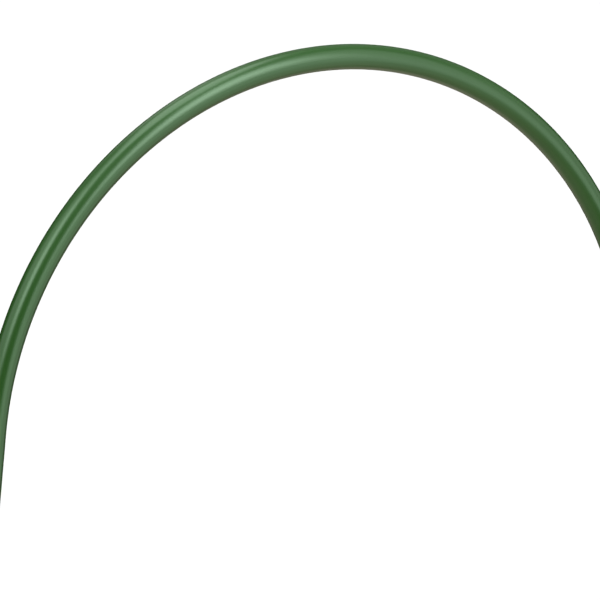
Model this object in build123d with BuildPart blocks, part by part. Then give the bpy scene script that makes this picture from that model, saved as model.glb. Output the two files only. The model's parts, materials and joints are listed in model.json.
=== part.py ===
"""Arched garden trellis of plastic-coated steel tube.

One half-round bow stands on two legs. Each leg is two straight tubes, and every tube joint is a
moulded connector: pressed into the upper tube, a slip fit in the lower one. Thinner rungs cross
between the legs in push-on clips that slide along them. A steel stake under each foot goes into
the ground.

Frame: +Z up, X across the arch, Y through it. The origin is midway between the legs, at the level
of the soil. Everything is in millimetres.
"""

import os

from build123d import *

os.makedirs("parts", exist_ok=True)

# Legs and bow
span = 474.0  # leg axis to leg axis, and so the bow's diameter on its centre line
leg_length = 550.0  # one leg tube
bow_tail = 135.0  # straight end of the bow below its half circle
tube_od = 16.0  # over the coating
coat_wall = 0.5
core_wall = 0.8  # steel

# Connectors between tubes
collar_height = 8.0
collar_proud = 1.0  # how far the collar stands out of the tube
spigot_length = 45.0
spigot_bore = 8.0
slip_gap = 0.05  # radial, where a connector slides out of a tube
slot_width = 1.6  # cross slots that let the sliding end spring
slot_depth = 26.0

# Feet and stakes
flange_od = 28.0
flange_height = 5.0
flange_edge = 1.6
bush_length = 40.0  # inside the leg
stake_od = 12.0
stake_depth = 200.0  # below the soil, point included
stake_point = 30.0
stake_tip_od = 2.4
stake_tip_edge = 0.8
tang_od = 9.0
tang_length = 52.0  # inside the foot

# Rungs
rungs_per_leg = 3
rung_od = 11.0  # over the coating
rung_coat_wall = 0.4
rung_core_wall = 0.6
rung_end_gap = 0.5  # rung end to the floor of its socket

# Rung clips
clip_height = 26.0
clip_wall = 3.0
clip_gap = 0.08  # radial, clip to leg
clip_opening = 100.0  # degrees of the ring left open, to push it on
socket_wall = 2.6
socket_depth = 20.0
socket_floor = 2.5  # between the leg and the rung's end
socket_gap = 0.05  # radial, rung to socket
bead_proud = 0.9  # rim round the socket's mouth
bead_width = 3.5
bead_edge = 0.7
web_width = 3.0  # gusset between ring and socket
web_setback = 1.6  # from the ring's end to the gusset

# Edge finish
soft_edge = 0.8
lead_in = 1.0

# Worked out from the above
leg_x = span / 2
core_r = tube_od / 2 - coat_wall
bore_r = core_r - core_wall
lower_leg_z = flange_height
leg_joint_z = lower_leg_z + leg_length
upper_leg_z = leg_joint_z + collar_height
bow_joint_z = upper_leg_z + leg_length
bow_z = bow_joint_z + collar_height
spring_z = bow_z + bow_tail
rung_pitch = (leg_length + collar_height) / rungs_per_leg
clip_bore_r = tube_od / 2 + clip_gap
clip_r = clip_bore_r + clip_wall
socket_r = rung_od / 2 + socket_gap
boss_r = socket_r + socket_wall
floor_x = clip_bore_r + socket_floor
mouth_x = floor_x + socket_depth

SIDES = {"left": -1, "right": 1}


def write(piece, name):
    """Labels a finished piece and writes its STEP."""
    piece.part.label = name
    export_step(piece.part, f"parts/{name}.step")


def straight_tube(x, z, length, outer_r, inner_r):
    """An upright tube on the leg axis at x, from height z up."""
    with BuildPart() as tube:
        with BuildSketch(Plane((x, 0, z))):
            Circle(outer_r)
            Circle(inner_r, mode=Mode.SUBTRACT)
        extrude(amount=length)
    return tube


def cross_tube(z, outer_r, inner_r):
    """A level tube between the sockets of a left and a right clip."""
    start = floor_x + rung_end_gap - leg_x
    with BuildPart() as tube:
        with BuildSketch(Plane((start, 0, z), x_dir=(0, 1, 0), z_dir=(1, 0, 0))):
            Circle(outer_r)
            Circle(inner_r, mode=Mode.SUBTRACT)
        extrude(amount=-2 * start)
    return tube


def bow_tube(outer_r, inner_r):
    """A tube bent to a half circle, with a straight tail at each end."""
    with BuildPart() as tube:
        with BuildLine():
            Line((-leg_x, 0, bow_z), (-leg_x, 0, spring_z))
            ThreePointArc((-leg_x, 0, spring_z), (0, 0, spring_z + leg_x), (leg_x, 0, spring_z))
            Line((leg_x, 0, spring_z), (leg_x, 0, bow_z))
        with BuildSketch(Plane((-leg_x, 0, bow_z))):
            Circle(outer_r)
            Circle(inner_r, mode=Mode.SUBTRACT)
        sweep()
    return tube


def connector(x, z):
    """A joint in the leg at x, its collar standing on the lower tube's end at height z."""
    slip_r = bore_r - slip_gap
    with BuildPart() as joint:
        with BuildSketch(Plane((x, 0, z))):
            Circle(tube_od / 2 + collar_proud)
        extrude(amount=collar_height)
        fillet(joint.edges().filter_by(GeomType.CIRCLE), soft_edge)
        with BuildSketch(Plane((x, 0, z + collar_height))):
            Circle(bore_r)
        extrude(amount=spigot_length)
        chamfer(joint.edges().group_by(Axis.Z)[-1], lead_in)
        with BuildSketch(Plane((x, 0, z))):
            Circle(slip_r)
        extrude(amount=-spigot_length)
        chamfer(joint.edges().group_by(Axis.Z)[0], lead_in)
        with BuildSketch(Plane((x, 0, z - spigot_length))):
            Circle(spigot_bore / 2)
        extrude(amount=2 * spigot_length + collar_height, mode=Mode.SUBTRACT)
        with BuildSketch(Plane((x, 0, z - spigot_length))):
            Rectangle(tube_od, slot_width)
            Rectangle(slot_width, tube_od)
        extrude(amount=slot_depth, mode=Mode.SUBTRACT)
    return joint


def foot_bush(x):
    """The plug in the foot of the leg at x, with a flange that rests on the soil."""
    with BuildPart() as bush:
        with BuildSketch(Plane((x, 0, 0))):
            Circle(flange_od / 2)
        extrude(amount=flange_height)
        fillet(bush.edges().group_by(Axis.Z)[-1], flange_edge)
        chamfer(bush.edges().group_by(Axis.Z)[0], soft_edge)
        with BuildSketch(Plane((x, 0, flange_height))):
            Circle(bore_r)
        extrude(amount=bush_length)
        chamfer(bush.edges().group_by(Axis.Z)[-1], lead_in)
        with BuildSketch(Plane((x, 0, 0))):
            Circle(tang_od / 2)
        extrude(amount=flange_height + bush_length, mode=Mode.SUBTRACT)
    return bush


def ground_stake(x):
    """A pointed steel rod with a thinner tang, which is driven up into the foot bush."""
    with BuildPart() as stake:
        with BuildSketch(Plane((x, 0, 0))):
            Circle(stake_od / 2)
        extrude(amount=stake_point - stake_depth)
        with Locations((x, 0, stake_point / 2 - stake_depth)):
            Cone(stake_tip_od / 2, stake_od / 2, stake_point)
        fillet(stake.edges().group_by(Axis.Z)[0], stake_tip_edge)
        with BuildSketch(Plane((x, 0, 0))):
            Circle(tang_od / 2)
        extrude(amount=tang_length)
        chamfer(stake.edges().group_by(Axis.Z)[-1], lead_in)
    return stake


def rung_clip(side, z):
    """An open ring on a leg at height z, with a socket for a rung's end. Local X points inward."""
    seat = Plane((side * leg_x, 0, z), x_dir=(-side, 0, 0), z_dir=(0, 0, 1))
    along = Plane(seat.origin, x_dir=seat.y_dir, z_dir=seat.x_dir)
    upright = Plane(seat.origin, x_dir=seat.x_dir, z_dir=-seat.y_dir)
    half = clip_height / 2
    web_z = half - web_setback
    wall_x = clip_bore_r + clip_wall / 2
    ring = CenterArc((0, 0), wall_x, clip_opening / 2 - 180, 360 - clip_opening)
    with BuildPart() as clip:
        with BuildSketch(seat.offset(-half)):
            SlotArc(ring, clip_wall)
        extrude(amount=clip_height)
        rims = clip.edges().filter_by(GeomType.CIRCLE).group_by(Axis.Z)
        fillet(rims[0] + rims[-1], soft_edge)
        with BuildSketch(along.offset(wall_x)):
            Circle(boss_r)
        extrude(amount=mouth_x - wall_x)
        with BuildSketch(along.offset(mouth_x - bead_width)):
            Circle(boss_r + bead_proud)
        extrude(amount=bead_width)
        bead = clip.edges(Select.LAST).filter_by(GeomType.CIRCLE)
        fillet(bead.group_by(SortBy.RADIUS)[-1], bead_edge)
        with BuildSketch(upright):
            with BuildLine():
                Polyline(
                    (wall_x, web_z),
                    (clip_r, web_z),
                    (mouth_x - bead_width, boss_r),
                    (mouth_x - bead_width, -boss_r),
                    (clip_r, -web_z),
                    (wall_x, -web_z),
                    close=True,
                )
            make_face()
        extrude(amount=web_width / 2, both=True)
        with BuildSketch(along.offset(floor_x)):
            Circle(socket_r)
        extrude(amount=socket_depth, mode=Mode.SUBTRACT)
    return clip


# Bow
write(bow_tube(core_r, bore_r), "bow_core")
write(bow_tube(tube_od / 2, core_r), "bow_coating")

# Legs, joints and feet
for name, side in SIDES.items():
    x = side * leg_x
    write(connector(x, bow_joint_z), f"bow_connector_{name}")
    write(connector(x, leg_joint_z), f"leg_connector_{name}")
    for section, z in (("upper", upper_leg_z), ("lower", lower_leg_z)):
        write(straight_tube(x, z, leg_length, core_r, bore_r), f"{section}_leg_core_{name}")
        write(straight_tube(x, z, leg_length, tube_od / 2, core_r), f"{section}_leg_coating_{name}")
    write(foot_bush(x), f"foot_bush_{name}")
    write(ground_stake(x), f"ground_stake_{name}")

# Rungs, numbered from the ground up
for number in range(1, 2 * rungs_per_leg + 1):
    z = lower_leg_z + (number - 0.5) * rung_pitch - collar_height / 2
    rung_core_r = rung_od / 2 - rung_coat_wall
    write(cross_tube(z, rung_core_r, rung_core_r - rung_core_wall), f"rung_core_{number}")
    write(cross_tube(z, rung_od / 2, rung_core_r), f"rung_coating_{number}")
    for name, side in SIDES.items():
        write(rung_clip(side, z), f"rung_clip_{name}_{number}")

print("bow springs at", spring_z, "top at", spring_z + leg_x + tube_od / 2)
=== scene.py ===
"""Looks of the arched garden trellis.

The plastic-coated tubes are swept afresh as smooth walls with rounded ends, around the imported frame.
The moulded connectors, clips and bushes and the zinc-plated stakes keep their CAD shapes and get
their finishes here. A pale floor lies under the points of the stakes.
"""

import json
import math

import bpy
import numpy as np
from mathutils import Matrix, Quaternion, Vector

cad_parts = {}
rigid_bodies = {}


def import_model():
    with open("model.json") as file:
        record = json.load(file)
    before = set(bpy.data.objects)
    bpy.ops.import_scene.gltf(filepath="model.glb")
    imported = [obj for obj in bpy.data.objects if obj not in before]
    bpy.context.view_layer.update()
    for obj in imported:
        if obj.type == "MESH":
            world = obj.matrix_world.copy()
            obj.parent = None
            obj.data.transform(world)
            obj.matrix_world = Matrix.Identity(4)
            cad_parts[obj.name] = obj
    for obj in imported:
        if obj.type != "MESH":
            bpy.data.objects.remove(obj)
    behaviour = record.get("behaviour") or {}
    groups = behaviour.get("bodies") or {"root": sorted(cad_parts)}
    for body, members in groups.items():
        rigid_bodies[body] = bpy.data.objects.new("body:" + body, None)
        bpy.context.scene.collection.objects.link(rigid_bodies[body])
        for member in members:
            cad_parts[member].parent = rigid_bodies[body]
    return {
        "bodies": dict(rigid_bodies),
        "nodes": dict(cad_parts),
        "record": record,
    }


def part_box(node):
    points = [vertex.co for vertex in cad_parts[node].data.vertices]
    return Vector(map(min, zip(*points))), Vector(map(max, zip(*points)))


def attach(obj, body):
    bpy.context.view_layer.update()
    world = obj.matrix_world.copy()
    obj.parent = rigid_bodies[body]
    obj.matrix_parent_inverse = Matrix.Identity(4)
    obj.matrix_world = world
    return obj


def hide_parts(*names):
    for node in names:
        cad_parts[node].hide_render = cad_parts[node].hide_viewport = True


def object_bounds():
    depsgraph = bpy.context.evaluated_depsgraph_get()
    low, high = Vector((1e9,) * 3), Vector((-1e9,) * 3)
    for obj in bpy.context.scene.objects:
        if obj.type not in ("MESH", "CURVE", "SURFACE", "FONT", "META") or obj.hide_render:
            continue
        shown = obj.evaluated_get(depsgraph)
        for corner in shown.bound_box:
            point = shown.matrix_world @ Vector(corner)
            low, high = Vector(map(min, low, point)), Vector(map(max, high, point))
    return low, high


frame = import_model()
cad_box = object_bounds()

# Tube meshes
TUBE_SIDES = 72
ARC_STATIONS = 168  # along the bow's half circle
STRAIGHT_STATIONS = 24  # along each straight run
LIP_STATIONS = 4
COATING_LIP = 0.00022  # rounding of a coating's cut end
CORE_LIP = 0.0001
LEG_RADII = (0.0080, 0.0075, 0.0067)  # over the coating, under it, and the steel's bore
RUNG_RADII = (0.0055, 0.0051, 0.0045)
BOW_TAIL = 0.135  # straight end of the bow
SHARP_ANGLE = math.radians(35)

# Camera, in the bow's radii where it is a length
CAMERA_AZIMUTH = -31.68
CAMERA_ELEVATION = 9.34
CAMERA_ROLL = 5.44
CAMERA_DISTANCE = 13.634
CAMERA_AIM = (-0.1148, 0.0, 0.3463)  # from the centre of the bow's half circle
SENSOR = 36.0
NEAR, FAR = 0.05, 200.0
LENS_TO_SENSOR = 8.5736

# Colours, linear
COATING_GREEN = (0.0139, 0.0493, 0.0090)
COATING_GREEN_WORN = (0.0180, 0.0590, 0.0125)
MOULDED_GREEN = (0.0105, 0.0410, 0.0082)
MOULDED_GREEN_PALE = (0.0180, 0.0550, 0.0150)
STEEL = (0.56, 0.55, 0.53)
STEEL_DARK = (0.34, 0.33, 0.32)
ZINC = (0.66, 0.68, 0.70)
ZINC_DULL = (0.44, 0.46, 0.48)
PALE_FLOOR = (0.44, 0.44, 0.44)
GREEN_GLOSS = (0.71, 1.0, 0.74, 1.0)  # tint of what the green plastics reflect

# Relief of the finishes
WAVE_HEIGHT = 0.00012  # slow waves along the coating
PEEL_HEIGHT = 0.000028  # orange peel on the coating
DRAW_LINE_HEIGHT = 0.000018  # lines left by the extrusion die
MOULD_GRAIN_HEIGHT = 0.000065
PARTING_LINE_HEIGHT = 0.00005
PARTING_LINE_EDGE = (0.00006, 0.00016)  # from its middle, where it starts to fall and where it ends
STEEL_LINE_HEIGHT = 0.000006
TURNING_MARK_HEIGHT = 0.00001

# Studio: azimuth 0 is in front of the arch, towards -Y, and 90 is towards +X
CEILING = (0.37, 0.37, 0.37)
CEILING_RISE = (0.20, 0.62)  # sine of the elevation where it starts and where it is full
FLOOR_BOUNCE = (1.06, 1.03, 0.75)
BOUNCE_RISE = (0.13, 0.98)  # the same, below the horizon
DARK = (0.0, 0.0, 0.0)
WHITE = (1.05, 1.05, 1.05)
SOFTBOXES = {  # azimuth, elevation, lean, half width, half height, softness of the edge, radiance
    "key": (14.0, 25.0, 6.0, 10.0, 23.0, 0.95, 10.0),
    "side": (-60.0, 26.0, 13.0, 11.5, 21.0, 0.95, 5.4),
    "overhead": (-83.0, 80.0, -25.0, 25.0, 18.0, 0.35, 4.3),
    "front_fill": (36.0, 20.0, -8.0, 17.0, 44.5, 0.40, 1.5),
    "left_fill": (-89.0, 20.0, 53.0, 38.0, 31.0, 0.30, 1.6),
    "low_fill": (59.0, -11.0, -39.0, 26.5, 41.5, 0.95, 1.4),
    "back_fill": (180.0, 42.0, 0.0, 10.0, 12.0, 0.95, 1.2),
}
BACK_LIGHT = (150.0, 22.0, 60.0, 4.0)  # azimuth, elevation, width and strength
IN_FRONT = 0.05  # least cosine, off a panel's direction, at which it gives light
FLOOR_SIZE = 80.0


# ---------------------------------------------------------------- shader maths


class Value:
    """A number that changes over a surface. Sums and products of values add Math nodes."""

    def __init__(self, shader, socket):
        self.shader = shader
        self.socket = socket

    def math(self, operation, *others):
        return self.shader.node("ShaderNodeMath", {"operation": operation}, [self, *others])

    def __add__(self, other):
        return self.math("ADD", other)

    def __sub__(self, other):
        return self.math("SUBTRACT", other)

    def __mul__(self, other):
        return self.math("MULTIPLY", other)

    def __truediv__(self, other):
        return self.math("DIVIDE", other)

    def __rsub__(self, other):
        return self.shader.node("ShaderNodeMath", {"operation": "SUBTRACT"}, [other, self])

    __radd__ = __add__
    __rmul__ = __mul__

    def between(self, low, high):
        """0 below low, 1 above high, and a smooth rise between them."""
        settings = {"interpolation_type": "SMOOTHSTEP"}
        return self.shader.node("ShaderNodeMapRange", settings, {0: self, 1: low, 2: high})


class Shader:
    """The node tree of a material or of the world."""

    def __init__(self, owner):
        owner.use_nodes = True
        self.tree = owner.node_tree
        self.tree.nodes.clear()

    def node(self, kind, settings=None, sockets=None, output=0):
        """Adds a node: its settings first, then its sockets' values or links."""
        made = self.tree.nodes.new(kind)
        for name, value in (settings or {}).items():
            setattr(made, name, value)
        pairs = sockets.items() if isinstance(sockets, dict) else enumerate(sockets or [])
        for key, value in pairs:
            if isinstance(value, Value):
                self.tree.links.new(value.socket, made.inputs[key])
            else:
                made.inputs[key].default_value = value
        return Value(self, made.outputs[output]) if made.outputs else None

    def mix(self, share, first, second):
        """A colour between two colours."""
        colours = [(*c, 1.0) if isinstance(c, tuple) else c for c in (first, second)]
        sockets = {0: share, 6: colours[0], 7: colours[1]}
        return self.node("ShaderNodeMix", {"data_type": "RGBA"}, sockets, output=2)

    def noise(self, place, scale, detail=2.0, roughness=0.5):
        """Smooth noise from 0 to 1, with scale in lumps to the metre."""
        sockets = {"Vector": place, "Scale": scale, "Detail": detail, "Roughness": roughness}
        return self.node("ShaderNodeTexNoise", {}, sockets)

    def stretch(self, place, amounts):
        """Coordinates multiplied by a vector."""
        return self.node("ShaderNodeVectorMath", {"operation": "MULTIPLY"}, [place, amounts])

    def part(self, vector, axis):
        """One coordinate of a vector."""
        return self.node("ShaderNodeSeparateXYZ", {}, [vector], output=axis)

    def dot(self, vector, other):
        """The dot product of two vectors."""
        sockets = [vector, other]
        return self.node("ShaderNodeVectorMath", {"operation": "DOT_PRODUCT"}, sockets, output=1)

    def bump(self, height, distance, below=None):
        """A normal raised by height times distance, in metres."""
        sockets = {"Height": height, "Distance": distance, "Strength": 1.0}
        if below is not None:
            sockets["Normal"] = below
        return self.node("ShaderNodeBump", {}, sockets)


def finish_material(name, sockets, make):
    """A Principled material: uniform sockets first, then what make() works out over the surface."""
    material = bpy.data.materials.new(name)
    shader = Shader(material)
    surface = shader.node("ShaderNodeBsdfPrincipled", {}, {**sockets, **make(shader)})
    shader.node("ShaderNodeOutputMaterial", {}, [surface])
    return material


def coated_green():
    """Extruded polyethylene over tube: satin, faintly wavy, with draw lines and a few scuffs."""

    def make(shader):
        place = shader.node("ShaderNodeAttribute", {"attribute_name": "tube_place"}, {}, output=1)
        clouds = shader.noise(place, 14.0, 3.0)
        peel = shader.noise(place, 900.0, 3.0)
        lines = shader.noise(shader.stretch(place, (1.0, 1.0, 0.012)), 1700.0, 3.0)
        scuffs = shader.noise(shader.stretch(place, (1.0, 1.0, 0.10)), 420.0, 4.0, 0.7)
        patches = shader.noise(place, 9.0, 2.0)
        scuffed = scuffs.between(0.60, 0.74) * patches.between(0.52, 0.68)
        shade = clouds.between(0.30, 0.70) * 0.30 + lines.between(0.35, 0.75) * 0.15 + scuffed * 0.50
        waves = shader.bump(clouds, WAVE_HEIGHT)
        grain = shader.bump(peel, PEEL_HEIGHT, waves)
        drawn = shader.bump(lines, DRAW_LINE_HEIGHT, grain)
        return {
            "Base Color": shader.mix(shade, COATING_GREEN, COATING_GREEN_WORN),
            "Roughness": 0.215 + clouds * 0.05 + scuffed * 0.16,
            "Normal": drawn,
        }

    return finish_material("polyethylene_coating", {"IOR": 1.5, "Specular Tint": GREEN_GLOSS}, make)


def moulded_green():
    """Injection-moulded polypropylene: spark-eroded grain, and a fine line where the mould closed."""

    def make(shader):
        place = shader.node("ShaderNodeTexCoord", {}, {}, output=3)
        grain = shader.noise(place, 1600.0, 2.0)
        clouds = shader.noise(place, 60.0, 3.0)
        flow = shader.noise(shader.stretch(place, (1.0, 1.0, 0.3)), 170.0, 2.0)
        across = shader.part(place, 1).math("ABSOLUTE")
        parting = 1.0 - across.between(*PARTING_LINE_EDGE)
        shade = clouds.between(0.35, 0.75) * 0.45 + flow.between(0.55, 0.80) * 0.30 + parting * 0.25
        eroded = shader.bump(grain, MOULD_GRAIN_HEIGHT)
        return {
            "Base Color": shader.mix(shade, MOULDED_GREEN, MOULDED_GREEN_PALE),
            "Roughness": 0.44 + clouds * 0.10 + grain * 0.05,
            "Normal": shader.bump(parting, PARTING_LINE_HEIGHT, eroded),
        }

    return finish_material("moulded_polypropylene", {"IOR": 1.49, "Specular Tint": GREEN_GLOSS}, make)


def drawn_steel():
    """Bright drawn tube, seen at a cut end when a joint is pulled apart."""

    def make(shader):
        place = shader.node("ShaderNodeAttribute", {"attribute_name": "tube_place"}, {}, output=1)
        lines = shader.noise(shader.stretch(place, (1.0, 1.0, 0.02)), 1900.0, 3.0)
        tarnish = shader.noise(place, 90.0, 4.0, 0.6)
        return {
            "Base Color": shader.mix(tarnish.between(0.42, 0.72), STEEL, STEEL_DARK),
            "Roughness": 0.26 + lines * 0.14 + tarnish * 0.12,
            "Normal": shader.bump(lines, STEEL_LINE_HEIGHT),
        }

    return finish_material("drawn_steel", {"Metallic": 1.0}, make)


def zinc_plate():
    """Zinc plate over turned rod: soft spangle, turning marks round the rod, and duller patches."""

    def make(shader):
        place = shader.node("ShaderNodeTexCoord", {}, {}, output=3)
        cells = {"Vector": place, "Scale": 330.0}
        spangle = shader.node("ShaderNodeTexVoronoi", {"feature": "SMOOTH_F1"}, cells)
        turning = shader.noise(shader.stretch(place, (0.05, 0.05, 1.0)), 2400.0, 2.0)
        patches = shader.noise(place, 45.0, 4.0, 0.6)
        dull = patches.between(0.38, 0.70) * 0.7 + spangle.between(0.2, 0.7) * 0.3
        return {
            "Base Color": shader.mix(dull, ZINC, ZINC_DULL),
            "Roughness": 0.28 + dull * 0.20 + turning * 0.06,
            "Normal": shader.bump(turning, TURNING_MARK_HEIGHT),
        }

    return finish_material("zinc_plate", {"Metallic": 1.0}, make)


# ---------------------------------------------------------------- tubes


def straight(start, end):
    """A straight centre line: its length, stations, and the point and direction at a distance."""
    start, end = np.array(start), np.array(end)
    length = float(np.linalg.norm(end - start))
    direction = (end - start) / length

    def at(distance):
        return start + direction * distance, direction

    return length, list(np.linspace(0.0, length, STRAIGHT_STATIONS)), at


def arched(foot, tail, radius):
    """The bow's centre line: up from its left end, over the half circle, and down to its right end."""
    arc = math.pi * radius
    length = 2.0 * tail + arc
    foot = np.array(foot)
    centre = foot + np.array((radius, 0.0, tail))

    def at(distance):
        if distance <= tail:
            return foot + np.array((0.0, 0.0, distance)), np.array((0.0, 0.0, 1.0))
        if distance >= tail + arc:
            down = distance - tail - arc
            return centre + np.array((radius, 0.0, -down)), np.array((0.0, 0.0, -1.0))
        turn = (distance - tail) / radius
        out = np.array((-math.cos(turn), 0.0, math.sin(turn)))
        return centre + out * radius, np.array((math.sin(turn), 0.0, math.cos(turn)))

    runs = [np.linspace(0.0, tail, STRAIGHT_STATIONS), np.linspace(tail, tail + arc, ARC_STATIONS)]
    runs.append(np.linspace(tail + arc, length, STRAIGHT_STATIONS))
    return length, sorted(set(np.concatenate(runs))), at


def wall_outline(length, stations, outer, inner, lip):
    """(distance, radius) round a tube's wall: out over both rounded ends and back along the bore."""
    turns = [math.pi / 2 * i / LIP_STATIONS for i in range(LIP_STATIONS + 1)]
    first = [(lip * (1 - math.sin(a)), outer - lip * (1 - math.cos(a))) for a in reversed(turns)]
    last = [(length - distance, radius) for distance, radius in reversed(first)]
    middle = [(s, outer) for s in stations if 2 * lip < s < length - 2 * lip]
    bore = [(s, inner) for s in reversed(stations)]
    return first + middle + last + bore


def tube(name, path, outer, inner, lip, material):
    """Sweeps a tube's wall along a centre line that lies in a plane of constant y."""
    length, stations, at = path
    outline = wall_outline(length, stations, outer, inner, lip)
    turns = np.arange(TUBE_SIDES) * 2.0 * math.pi / TUBE_SIDES
    round_y, round_side = np.cos(turns)[:, None], np.sin(turns)[:, None]
    across = np.array((0.0, 1.0, 0.0))
    points, places = [], []
    for distance, radius in outline:
        centre, direction = at(distance)
        side = np.cross(direction, across)
        points.append(centre + radius * (round_y * across + round_side * side))
        along = np.full((TUBE_SIDES, 1), distance)
        places.append(np.hstack((radius * round_y, radius * round_side, along)))
    faces = []
    for ring in range(len(outline)):
        here, there = ring * TUBE_SIDES, (ring + 1) % len(outline) * TUBE_SIDES
        for k in range(TUBE_SIDES):
            after = (k + 1) % TUBE_SIDES
            faces.append((here + k, there + k, there + after, here + after))
    mesh = bpy.data.meshes.new(name)
    mesh.from_pydata(np.concatenate(points).tolist(), [], faces)
    place = mesh.attributes.new("tube_place", "FLOAT_VECTOR", "POINT")
    place.data.foreach_set("vector", np.concatenate(places).astype(np.float32).ravel())
    mesh.polygons.foreach_set("use_smooth", [True] * len(mesh.polygons))
    mesh.set_sharp_from_angle(angle=SHARP_ANGLE)
    mesh.update()
    piece = bpy.data.objects.new(name, mesh)
    bpy.context.scene.collection.objects.link(piece)
    piece.data.materials.append(material)
    return piece


def coated_tube(kind, ending, path, radii, body):
    """The coating and the steel core of one tube. Each stands for its CAD node."""
    outer, under, bore = radii
    for layer, wall, lip, material, slot in (
        ("coating", (outer, under), COATING_LIP, coating, "green_coating"),
        ("core", (under, bore), CORE_LIP, steel, "steel_tube"),
    ):
        node = f"{kind}_{layer}{ending}"
        piece = tube(f"{node}_skin", path, *wall, lip, material)
        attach(piece, body)
        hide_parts(node)


def heights(node):
    """The lowest and highest z of a CAD node."""
    low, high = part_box(node)
    return low.z, high.z


# ---------------------------------------------------------------- studio


def towards(azimuth, elevation):
    """The direction at an azimuth and an elevation, in degrees."""
    a, e = math.radians(azimuth), math.radians(elevation)
    return Vector((math.sin(a) * math.cos(e), -math.cos(a) * math.cos(e), math.sin(e)))


def softbox(shader, direction, azimuth, elevation, lean, wide, high, softness, radiance):
    """The light of a far, soft-edged panel. Its place, lean and half sizes are in degrees."""
    ahead = towards(azimuth, elevation)
    turn = Quaternion(ahead, math.radians(lean))
    side = turn @ towards(azimuth + 90.0, 0.0)
    top = side.cross(ahead)
    depth = shader.dot(direction, ahead)
    cover = depth.math("GREATER_THAN", IN_FRONT) * radiance
    for axis, half in ((side, wide), (top, high)):
        off = shader.dot(direction, axis).math("ABSOLUTE") / (depth * math.tan(math.radians(half)))
        cover = cover * (1.0 - off.between(1.0 - softness, 1.0 + softness))
    return cover


def studio_world():
    """A white surround for the camera, lit by soft panels in a dark room with a warm floor."""
    world = bpy.data.worlds.new("studio")
    bpy.context.scene.world = world
    shader = Shader(world)
    direction = shader.node("ShaderNodeTexCoord", {}, {}, output=0)
    height = shader.part(direction, 2)
    light = shader.mix(height.between(*CEILING_RISE), DARK, CEILING)
    light = shader.mix((height * -1.0).between(*BOUNCE_RISE), light, FLOOR_BOUNCE)
    for panel in SOFTBOXES.values():
        lit = softbox(shader, direction, *panel)
        light = shader.node("ShaderNodeVectorMath", {"operation": "ADD"}, [light, lit])
    seen = shader.node("ShaderNodeLightPath", {}, {}, output=0)
    colour = shader.mix(seen, light, WHITE)
    background = shader.node("ShaderNodeBackground", {}, {"Color": colour, "Strength": 1.0})
    shader.node("ShaderNodeOutputWorld", {}, [background])


def back_light():
    """A wide, even light from behind, which leaves no highlight."""
    azimuth, elevation, width, strength = BACK_LIGHT
    lamp = bpy.data.lights.new("back_light", "SUN")
    lamp.angle = math.radians(width)
    lamp.energy = strength
    holder = bpy.data.objects.new("back_light", lamp)
    bpy.context.scene.collection.objects.link(holder)
    holder.rotation_mode = "QUATERNION"
    holder.rotation_quaternion = towards(azimuth, elevation).to_track_quat("Z", "Y")
    holder.visible_glossy = False


def pale_floor():
    """The floor under the stakes' points, so that the whole trellis shows."""
    half = FLOOR_SIZE / 2
    mesh = bpy.data.meshes.new("floor")
    corners = [(-half, -half, 0), (half, -half, 0), (half, half, 0), (-half, half, 0)]
    mesh.from_pydata(corners, [], [(0, 1, 2, 3)])
    floor = bpy.data.objects.new("floor", mesh)
    floor.location.z = cad_box[0].z
    bpy.context.scene.collection.objects.link(floor)
    material = bpy.data.materials.new("pale_floor")
    shader = Shader(material)
    surface = shader.node("ShaderNodeBsdfDiffuse", {}, {"Color": (*PALE_FLOOR, 1.0)})
    shader.node("ShaderNodeOutputMaterial", {}, [surface])
    mesh.materials.append(material)
    floor.visible_glossy = False
    floor.visible_diffuse = False


def camera():
    """A long lens on the bow, from the front left and a little above, rolled a few degrees."""
    lens = bpy.data.cameras.new("camera")
    lens.sensor_width = SENSOR
    lens.lens = SENSOR * LENS_TO_SENSOR
    lens.clip_start, lens.clip_end = NEAR, FAR
    holder = bpy.data.objects.new("camera", lens)
    bpy.context.scene.collection.objects.link(holder)
    back = towards(CAMERA_AZIMUTH, CAMERA_ELEVATION)
    holder.location = bow_centre + bow_radius * (Vector(CAMERA_AIM) + back * CAMERA_DISTANCE)
    holder.rotation_mode = "QUATERNION"
    level = back.to_track_quat("Z", "Y")
    holder.rotation_quaternion = level @ Quaternion((0.0, 0.0, 1.0), math.radians(CAMERA_ROLL))
    bpy.context.scene.camera = holder


# ---------------------------------------------------------------- the trellis

mounts = {mount["name"]: mount["pos_m"] for mount in frame["record"]["mounts"]}
bow_radius = mounts["right_stake"][0]
bow_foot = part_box("bow_coating")[0].z
bow_centre = Vector((0.0, 0.0, bow_foot + BOW_TAIL))

coating = coated_green()
steel = drawn_steel()
moulded = moulded_green()
zinc = zinc_plate()

coated_tube("bow", "", arched((-bow_radius, 0.0, bow_foot), BOW_TAIL, bow_radius), LEG_RADII, "bow")
for name, x in (("left", -bow_radius), ("right", bow_radius)):
    for section in ("upper", "lower"):
        low, high = heights(f"{section}_leg_core_{name}")
        path = straight((x, 0.0, low), (x, 0.0, high))
        coated_tube(f"{section}_leg", f"_{name}", path, LEG_RADII, f"{section}_frame")

for body in frame["bodies"]:
    if body.startswith("rung_"):
        number = body.removeprefix("rung_")
        z = sum(heights(f"rung_clip_left_{number}")) / 2
        low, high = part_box(f"rung_core_{number}")
        path = straight((low.x, 0.0, z), (high.x, 0.0, z))
        coated_tube("rung", f"_{number}", path, RUNG_RADII, body)

finishes = {"connector": moulded, "bush": moulded, "clip": moulded, "stake": zinc}
for node, part in frame["nodes"].items():
    for word, material in finishes.items():
        if word in node:
            part.data.materials.clear()
            part.data.materials.append(material)

# ---------------------------------------------------------------- the view

bpy.context.scene.view_settings.view_transform = "Standard"
studio_world()
back_light()
pale_floor()
camera()
